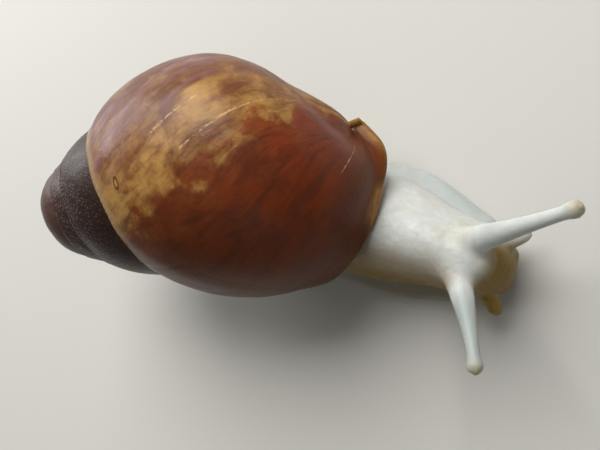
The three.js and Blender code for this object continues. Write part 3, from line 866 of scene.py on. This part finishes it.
flame_part = add(tree, "ShaderNodeMapRange", {"Value": drawn["flames"]},
                 {"From Min": 0.46, "From Max": 0.62, "To Max": 0.72})
flamed = add(tree, "ShaderNodeMix", {0: flame_part.outputs[0], 6: bands.outputs[0]}, {7: "#57291a"},
             data_type="RGBA")
# pale violet streaks on the older shell, partly the shell's own streaks and partly painted sheen
violet_here = add(tree, "ShaderNodeMapRange", {"Value": stage}, {"From Min": -0.36, "From Max": -0.43, "To Max": 0.8})
violet_ends = add(tree, "ShaderNodeMapRange", {"Value": stage}, {"From Min": -0.68, "From Max": -0.54, "To Min": 0.25})
violet_streak_and_sheen_zone = add(tree, "ShaderNodeMath", {0: violet_here.outputs[0], 1: violet_ends.outputs[0]},
                  operation="MULTIPLY")
violet_part = add(tree, "ShaderNodeMapRange", {"Value": drawn["violet"]}, {"From Min": 0.44, "From Max": 0.6})
violet_streak_and_sheen_mask = add(tree, "ShaderNodeMath", {0: violet_streak_and_sheen_zone.outputs[0], 1: violet_part.outputs[0]},
                  operation="MULTIPLY")
violet_streak_and_sheen_painted = add(tree, "ShaderNodeMix", {0: violet_streak_and_sheen_mask.outputs[0], 6: flamed.outputs[2]}, {7: "#7b595f"},
                data_type="RGBA")
patches = add(tree, "ShaderNodeTexNoise", {"Vector": place_mm},
              {"Scale": 1 / 3.5, "Detail": 5.0, "Roughness": 0.6, "Distortion": 0.6}).outputs["Fac"]
patch_part = add(tree, "ShaderNodeMapRange", {"Value": patches}, {"From Min": 0.48, "From Max": 0.68, "To Max": 0.55})
painted = add(tree, "ShaderNodeMix", {0: patch_part.outputs[0], 6: violet_streak_and_sheen_painted.outputs[2]}, {7: "#582a18"},
              data_type="RGBA")
print("streaks drawn out along the growth lines:", list(drawn))

# %% [markdown]
# Four layers lie over that, each where two things are true at once, such as a distance under the seam
# and a growth stage. Three are tints; the third layer is painted shade, a dark olive brown on the newest
# shell near the seam. The last is the tan, beaded edge at the seam, about 1.5 mm wide.

# %% Tints of the older and the newer shell, and painted shade on the newest shell
TINTS_AND_PAINTED_SHADE = [(patches, 0.46, 0.3, 0.38, stage, -0.3, -0.34, 0.0, "#aa884f"),   # golden, between the patches
         (below, 19.0, 30.0, 0.6, wander, -0.33, -0.37, 0.0, "#70401f"),   # brown, towards the base
         # painted shade: dark olive brown on the newest shell near the seam
         (below, 27.0, 9.0, 0.62, wander, -0.36, -0.24, 0.0, "#382307"),   # dark, on the newer shoulder
         (below, 2.4, 0.5, 0.85, stage, -0.2, -0.34, 0.15, "#9c825e")]     # tan, at the seam
for over, start, full, most, by, outside, within, least, tint in TINTS_AND_PAINTED_SHADE:
    tint_part = add(tree, "ShaderNodeMapRange", {"Value": over},
                    {"From Min": start, "From Max": full, "To Max": most})
    tint_here = add(tree, "ShaderNodeMapRange", {"Value": by},
                    {"From Min": outside, "From Max": within, "To Min": least})
    tint_mask = add(tree, "ShaderNodeMath", {0: tint_part.outputs[0], 1: tint_here.outputs[0]},
                    operation="MULTIPLY")
    painted = add(tree, "ShaderNodeMix", {0: tint_mask.outputs[0], 6: painted.outputs[2]}, {7: tint},
                  data_type="RGBA")
young = add(tree, "ShaderNodeMapRange", {"Value": stage}, {"From Min": -0.84, "From Max": -0.96})
painted = add(tree, "ShaderNodeMix", {0: young.outputs[0], 6: painted.outputs[2]}, {7: "#38241b"},
              data_type="RGBA")
print("tints:", len(TINTS_AND_PAINTED_SHADE))

# %% [markdown]
# Long scratches follow three old rims, broken up as real ones are, and there is one small round scar.
# Inside the mouth the shell is bare and milky.

# %% Scratches, a scar and the inside of the mouth
# growth stage and half width in turns, then where it starts and ends in mm under the seam
SCRATCHES = ((-0.334, 0.0012, 16, 28), (-0.3745, 0.0011, 13, 20), (-0.152, 0.0014, 34, 42))

crumbs = add(tree, "ShaderNodeTexNoise", {"Vector": place_mm}, {"Scale": 1 / 0.9, "Detail": 3.0, "Roughness": 0.7})
shaken = add(tree, "ShaderNodeMath", {0: crumbs.outputs["Fac"], 2: stage}, {1: 0.006}, operation="MULTIPLY_ADD")
broken = add(tree, "ShaderNodeMapRange", {"Value": crumbs.outputs["Fac"]},
             {"From Min": 0.42, "From Max": 0.62, "To Max": 0.7})
for at, width, start, end in SCRATCHES:
    close = add(tree, "ShaderNodeMath", {0: shaken.outputs[0]}, {1: at + 0.003, 2: width}, operation="COMPARE")
    along_rim = add(tree, "ShaderNodeMath", {0: below}, {1: (start + end) / 2, 2: (end - start) / 2},
                    operation="COMPARE")
    both = add(tree, "ShaderNodeMath", {0: close.outputs[0], 1: along_rim.outputs[0]}, operation="MULTIPLY")
    scratch = add(tree, "ShaderNodeMath", {0: both.outputs[0], 1: broken.outputs[0]}, operation="MULTIPLY")
    painted = add(tree, "ShaderNodeMix", {0: scratch.outputs[0], 6: painted.outputs[2]}, {7: "#cfa880"},
                  data_type="RGBA")

SCAR_STAGE, SCAR_BELOW, TURN_THERE = -0.366, 5.4, 60   # turns, mm under the seam, and mm in a turn there
on_map = add(tree, "ShaderNodeVectorMath", {0: growth}, {1: (TURN_THERE, 1, 0)}, operation="MULTIPLY")
from_scar = add(tree, "ShaderNodeVectorMath", {0: on_map.outputs[0]},
                {1: (SCAR_STAGE * TURN_THERE, SCAR_BELOW, 0)}, operation="DISTANCE")
scar_ring = add(tree, "ShaderNodeMath", {0: from_scar.outputs["Value"]}, {1: 0.42, 2: 0.14}, operation="COMPARE")
scar_part = add(tree, "ShaderNodeMath", {0: scar_ring.outputs[0]}, {1: 0.75}, operation="MULTIPLY")
painted = add(tree, "ShaderNodeMix", {0: scar_part.outputs[0], 6: painted.outputs[2]}, {7: "#3c2012"},
              data_type="RGBA")

inside_part = add(tree, "ShaderNodeMath", {0: stage}, {1: 0.3}, operation="GREATER_THAN")
shell_colour = add(tree, "ShaderNodeMix", {0: inside_part.outputs[0], 6: painted.outputs[2]}, {7: "#c9c0b6"},
                   data_type="RGBA")
print("scratches:", len(SCRATCHES))

# %% [markdown]
# The gloss is a little rougher between the flames. Two bumps give what is finer than the mesh: the
# thin lines of daily growth, and the pores of the horny skin.

# %% Gloss and fine lines of the body whorl
pores = add(tree, "ShaderNodeTexNoise", {"Vector": place_mm}, {"Scale": 1 / 0.7, "Detail": 2.0, "Roughness": 0.5})
lines_bump = add(tree, "ShaderNodeBump", {"Height": drawn["lines"]}, {"Strength": 1.0, "Distance": 0.035 * MM})
shell_bump = add(tree, "ShaderNodeBump", {"Height": pores.outputs["Fac"], "Normal": lines_bump.outputs[0]},
                 {"Strength": 1.0, "Distance": 0.035 * MM})
worn = add(tree, "ShaderNodeMapRange", {"Value": drawn["flames"]},
           {"From Min": 0.3, "From Max": 0.7, "To Min": 0.4, "To Max": 0.3})
shader = add(tree, "ShaderNodeBsdfPrincipled",
             {"Base Color": shell_colour.outputs[2], "Roughness": worn.outputs[0], "Normal": shell_bump.outputs[0]},
             {"IOR": 1.45, "Specular IOR Level": 0.2, "Coat Weight": 0.03, "Coat Roughness": 0.2, "Coat IOR": 1.5})
add(tree, "ShaderNodeOutputMaterial", {"Surface": shader.outputs[0]})
print("body whorl's material:", len(tree.nodes), "nodes")

# %% [markdown]
# ## The spire's material: older shell, darker and finely beaded
# The young whorls are the oldest shell on the animal. They are dark brown with a violet cast, and the beads
# on them catch the light one by one, which turns the gloss to a greyish bloom, helped by a painted sheen on their
# tops.

# %% Colour and beads of the spire
old_horn, tree, place_mm = new_material("grown shell under horny skin, spire")
growth = add(tree, "ShaderNodeUVMap", uv_map="growth").outputs[0]
axes = add(tree, "ShaderNodeSeparateXYZ", {0: growth})
stage, below = axes.outputs["X"], axes.outputs["Y"]
OLDEST, NEWEST = -4.4, -0.95
along = add(tree, "ShaderNodeMapRange", {"Value": stage}, {"From Min": OLDEST, "From Max": NEWEST})
bands = add(tree, "ShaderNodeValToRGB", {0: along.outputs[0]}, stops=stage_stops(
    [(-4.4, "#5a3c30"), (-3.4, "#482f26"), (-2.4, "#33211a"), (-1.7, "#2a1b14"), (-1.3, "#271812"),
     (-1.0, "#372318")], OLDEST, NEWEST))
on_map = add(tree, "ShaderNodeVectorMath", {0: growth}, {1: (60, 0.2, 1), 2: (9, 9, 9)}, operation="MULTIPLY_ADD")
mottle = add(tree, "ShaderNodeTexNoise", {0: on_map.outputs[0]}, {"Scale": 1.0, "Detail": 4.0, "Roughness": 0.6})
mottle_part = add(tree, "ShaderNodeMapRange", {"Value": mottle.outputs["Fac"]},
                  {"From Min": 0.45, "From Max": 0.65, "To Max": 0.45})
mottled = add(tree, "ShaderNodeMix", {0: mottle_part.outputs[0], 6: bands.outputs[0]}, {7: "#2c1c17"},
              data_type="RGBA")

# beads are about 0.45 mm across, and their tops near the seam are painted paler as a painted sheen
grains = add(tree, "ShaderNodeTexVoronoi", {"Vector": place_mm}, {"Scale": 1 / 0.45, "Randomness": 0.7})
tops = add(tree, "ShaderNodeMapRange", {"Value": grains.outputs["Distance"]}, {"From Min": 0.42, "From Max": 0.12})
near_seam = add(tree, "ShaderNodeMapRange", {"Value": below},
                {"From Min": 8.0, "From Max": 1.5, "To Min": 0.15, "To Max": 0.7})
bead_top_and_sheen_part = add(tree, "ShaderNodeMath", {0: tops.outputs[0], 1: near_seam.outputs[0]}, operation="MULTIPLY")
# painted sheen: the bead tops near the seam are mixed towards a pale grey-pink
bead_tops_painted_sheen = add(tree, "ShaderNodeMix", {0: bead_top_and_sheen_part.outputs[0], 6: mottled.outputs[2]}, {7: "#7a6460"},
             data_type="RGBA")
beads_bump = add(tree, "ShaderNodeBump", {"Height": bead_top_and_sheen_part.outputs[0]}, {"Strength": 1.0, "Distance": 0.05 * MM})
on_map = add(tree, "ShaderNodeVectorMath", {0: growth}, {1: (300, 0.5, 1), 2: (5, 5, 5)}, operation="MULTIPLY_ADD")
lines = add(tree, "ShaderNodeTexNoise", {0: on_map.outputs[0]}, {"Scale": 1.0, "Detail": 3.0})
old_bump = add(tree, "ShaderNodeBump", {"Height": lines.outputs["Fac"], "Normal": beads_bump.outputs[0]},
               {"Strength": 1.0, "Distance": 0.03 * MM})
dulled = add(tree, "ShaderNodeMapRange", {"Value": mottle.outputs["Fac"]},
             {"From Min": 0.3, "From Max": 0.7, "To Min": 0.48, "To Max": 0.36})
shader = add(tree, "ShaderNodeBsdfPrincipled",
             {"Base Color": bead_tops_painted_sheen.outputs[2], "Roughness": dulled.outputs[0], "Normal": old_bump.outputs[0]},
             {"IOR": 1.5, "Specular IOR Level": 0.22, "Coat Weight": 0.03, "Coat Roughness": 0.35, "Coat IOR": 1.5,
              "Sheen Weight": 0.06, "Sheen Roughness": 0.4, "Sheen Tint": "#cfc3cc"})
add(tree, "ShaderNodeOutputMaterial", {"Surface": shader.outputs[0]})
print("spire's material:", len(tree.nodes), "nodes")

# %% [markdown]
# ## The pillar's material: bare shell
# The pillar has no horny skin. It is bare shell, milky and glossy, stained brown by the flesh beside it.

# %% Bare shell
bare, tree, place_mm = new_material("bare milky shell")
stains = add(tree, "ShaderNodeTexNoise", {"Vector": place_mm}, {"Scale": 1 / 3, "Detail": 4.0})
stained = add(tree, "ShaderNodeValToRGB", {0: stains.outputs["Fac"]},
              stops=[(0.3, "#94775d"), (0.55, "#74503a"), (0.75, "#5c3d2b")])
ripple = add(tree, "ShaderNodeTexNoise", {"Vector": place_mm}, {"Scale": 1 / 0.6, "Detail": 2.0})
ripple_bump = add(tree, "ShaderNodeBump", {"Height": ripple.outputs["Fac"]},
                  {"Strength": 1.0, "Distance": 0.03 * MM})
shader = add(tree, "ShaderNodeBsdfPrincipled", {"Base Color": stained.outputs[0], "Normal": ripple_bump.outputs[0]},
             {"Roughness": 0.32, "IOR": 1.53})
add(tree, "ShaderNodeOutputMaterial", {"Surface": shader.outputs[0]})
print("bare shell:", len(tree.nodes), "nodes")

# %% [markdown]
# ## The skin's material: live snail skin, wet with slime
# The skin is almost without pigment. Light goes a millimetre or two into it and comes out softened, which
# is subsurface scattering, and the slime on it gives a clear, tight gloss. The grooves between
# the warts are painted darker and warmer as painted shade. The feelers' knobs are tan, and the face and
# the underside of the head are warmer and darker, partly a warm tone and partly painted shade.

# %% Wet skin
wet_skin, tree, place_mm = new_material("pale live skin wet with slime")
paint = add(tree, "ShaderNodeAttribute", attribute_name="shades", attribute_type="GEOMETRY")
kept_shades = add(tree, "ShaderNodeSeparateColor", {0: paint.outputs["Color"]}).outputs
blush = add(tree, "ShaderNodeTexNoise", {"Vector": place_mm}, {"Scale": 1 / 6, "Detail": 4.0, "Roughness": 0.55})
flesh = add(tree, "ShaderNodeValToRGB", {0: blush.outputs["Fac"]},
            stops=[(0.3, "#c2c5c0"), (0.5, "#cdd1d0"), (0.7, "#c3c4bb")]).outputs[0]
# the thin rim and feelers, the warm tone and painted shade of the face, right flank and mouth, the knobs, and the
# painted shade in the grooves, in this order
for shade, most, tint in ((paint.outputs["Alpha"], 0.8, "#939d99"), (kept_shades[2], 1.0, "#836718"),
                          (kept_shades[0], 0.85, "#a09a80"), (kept_shades[1], 0.25, "#a89878")):
    tint_part = add(tree, "ShaderNodeMath", {0: shade}, {1: most}, operation="MULTIPLY")
    flesh = add(tree, "ShaderNodeMix", {0: tint_part.outputs[0], 6: flesh}, {7: tint}, data_type="RGBA").outputs[2]

fine_warts = add(tree, "ShaderNodeTexVoronoi", {"Vector": place_mm}, {"Scale": 1 / 0.4, "Randomness": 1.0})
skin_bump = add(tree, "ShaderNodeBump", {"Height": fine_warts.outputs["Distance"]},
                {"Strength": 1.0, "Distance": 0.03 * MM}, invert=True)
slime = add(tree, "ShaderNodeTexNoise", {"Vector": place_mm}, {"Scale": 1 / 1.5, "Detail": 3.0})
wetness = add(tree, "ShaderNodeMapRange", {"Value": slime.outputs["Fac"]},
              {"From Min": 0.35, "From Max": 0.65, "To Min": 0.34, "To Max": 0.5})
shader = add(tree, "ShaderNodeBsdfPrincipled",
             {"Base Color": flesh, "Roughness": wetness.outputs[0], "Normal": skin_bump.outputs[0]},
             {"IOR": 1.4, "Specular IOR Level": 0.35, "Subsurface Weight": 0.7,
              "Subsurface Radius": (1.0, 0.75, 0.45), "Subsurface Scale": 1.6 * MM,
              "Coat Weight": 0.2, "Coat Roughness": 0.22, "Coat IOR": 1.34})
add(tree, "ShaderNodeOutputMaterial", {"Surface": shader.outputs[0]})
print("skin's material:", len(tree.nodes), "nodes")

# %% [markdown]
# ## The eyes' material: a clear lens over a pale cup
# The lens is smooth and wet, so it has the tightest gloss on the animal, and the faint brown ring of the
# cup shows through it.

# %% Eye
lens, tree, place_mm = new_material("wet clear lens over a pale eye cup")
cup = add(tree, "ShaderNodeTexNoise", {"Vector": place_mm}, {"Scale": 1 / 0.35, "Detail": 2.0})
cup_colour = add(tree, "ShaderNodeValToRGB", {0: cup.outputs["Fac"]},
                 stops=[(0.3, "#8f856c"), (0.55, "#a59a7e"), (0.75, "#b3a98f")])
shader = add(tree, "ShaderNodeBsdfPrincipled", {"Base Color": cup_colour.outputs[0]},
             {"Roughness": 0.12, "IOR": 1.38, "Coat Weight": 0.6, "Coat Roughness": 0.05})
add(tree, "ShaderNodeOutputMaterial", {"Surface": shader.outputs[0]})
print("eye's material:", len(tree.nodes), "nodes")

# %% [markdown]
# ## Putting the finishes on
# Each piece gets its material and is carried by the one body of this still model, and the packed
# solids that the pieces replace are hidden.

# %% Finishes, solids and body
finishes = [(spire, old_horn, "shell_spire"), (body_whorl, horn, "shell_body"), (columella, bare, "shell_body"),
            (skin, wet_skin, "skin"), (eyes["left"], lens, "eye"), (eyes["right"], lens, "eye")]
for made, finish, slot in finishes:
    made.data.materials.append(finish)
    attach(made, "root")
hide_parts("shell_apex", "shell_spire")
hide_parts("shell_body_whorl", "shell_lip")
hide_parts("mantle_collar", "foot_tail", "foot_middle", "foot_front", "neck", "head", "mouth_lobe_left",
            "mouth_lobe_right", "upper_feeler_left", "upper_feeler_right", "lower_feeler_left", "lower_feeler_right")
for side, made in eyes.items():
    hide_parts("eye_" + side)
print("finished pieces:", len(finishes))

# %% [markdown]
# ## Floor
# The floor is a plain pale board, matt, 1.2 m across, so that its edge stays out of sight.

# %% Floor
FLOOR = 1.2   # metres along a side

bm = bmesh.new()
bmesh.ops.create_grid(bm, x_segments=4, y_segments=4, size=FLOOR / 2)
floor = piece("floor", bm)
board, tree, place_mm = new_material("matt painted board")
tone = add(tree, "ShaderNodeTexNoise", {"Vector": place_mm}, {"Scale": 6 * MM, "Detail": 2.0})
tones = add(tree, "ShaderNodeValToRGB", {0: tone.outputs["Fac"]}, stops=[(0.3, "#c2c0ba"), (0.7, "#c6c4bd")])
shader = add(tree, "ShaderNodeBsdfPrincipled", {"Base Color": tones.outputs[0]},
             {"Roughness": 0.85, "Specular IOR Level": 0.2})
add(tree, "ShaderNodeOutputMaterial", {"Surface": shader.outputs[0]})
floor.data.materials.append(board)

# %% [markdown]
# ## Light
# The light comes from the left, behind and above, as from a large window, and falls off gently to
# the near side. One big softbox makes it. A lower one behind the tail gives the spire its bloom, a weak one
# opens the shadows, and the world stands for the rest of a bright room.

# %% Softboxes and room
AIM = Vector((0.0, 0.0, 0.01))   # metres, the middle of the snail


def softbox(name, position, size, power):
    """A rectangular lamp turned to the snail. Its place and size are in metres, its power in watts."""
    lamp = bpy.data.lights.new(name, "AREA")
    lamp.shape = "RECTANGLE"
    lamp.size, lamp.size_y = size
    lamp.energy = power
    made = bpy.data.objects.new(name, lamp)
    made.location = position
    made.rotation_euler = (AIM - Vector(position)).to_track_quat("-Z", "Y").to_euler()
    bpy.context.scene.collection.objects.link(made)
    print(name, "at", position)
    return made


softbox("window softbox", (-0.15, 0.26, 0.34), (0.4, 0.36), 3.1)
softbox("low window softbox", (-0.42, 0.10, 0.15), (0.26, 0.2), 0.9)
softbox("fill softbox", (0.3, -0.3, 0.25), (0.3, 0.3), 0.1)
world = bpy.data.worlds.new("bright room")
world.use_nodes = True
room = world.node_tree.nodes["Background"].inputs
room["Color"].default_value, room["Strength"].default_value = srgb("#e6e4df"), 0.2
bpy.context.scene.world = world
bpy.context.scene.view_settings.view_transform = "Standard"

# %% [markdown]
# ## Camera
# The camera looks down on the snail from its right and front, 96 mm above the floor. Its direction is
# kept as three square axes: its right, its up and its back.

# %% Camera
right, up, back = (0.8515, 0.2675, -0.4509), (-0.2703, 0.9610, 0.0596), (0.4492, 0.0711, 0.8906)
turned = Matrix((right, up, back)).transposed().to_4x4()
turned.translation = Vector((47.5, 3.68, 96.0)) * MM
camera = bpy.data.cameras.new("camera")
camera.lens, camera.sensor_width = 37.2, 36
camera.clip_start, camera.clip_end = 0.005, 5
viewer = bpy.data.objects.new("camera", camera)
viewer.matrix_world = turned
bpy.context.scene.collection.objects.link(viewer)
bpy.context.scene.camera = viewer
print("camera's height in mm:", round(turned.translation.z / MM, 1))
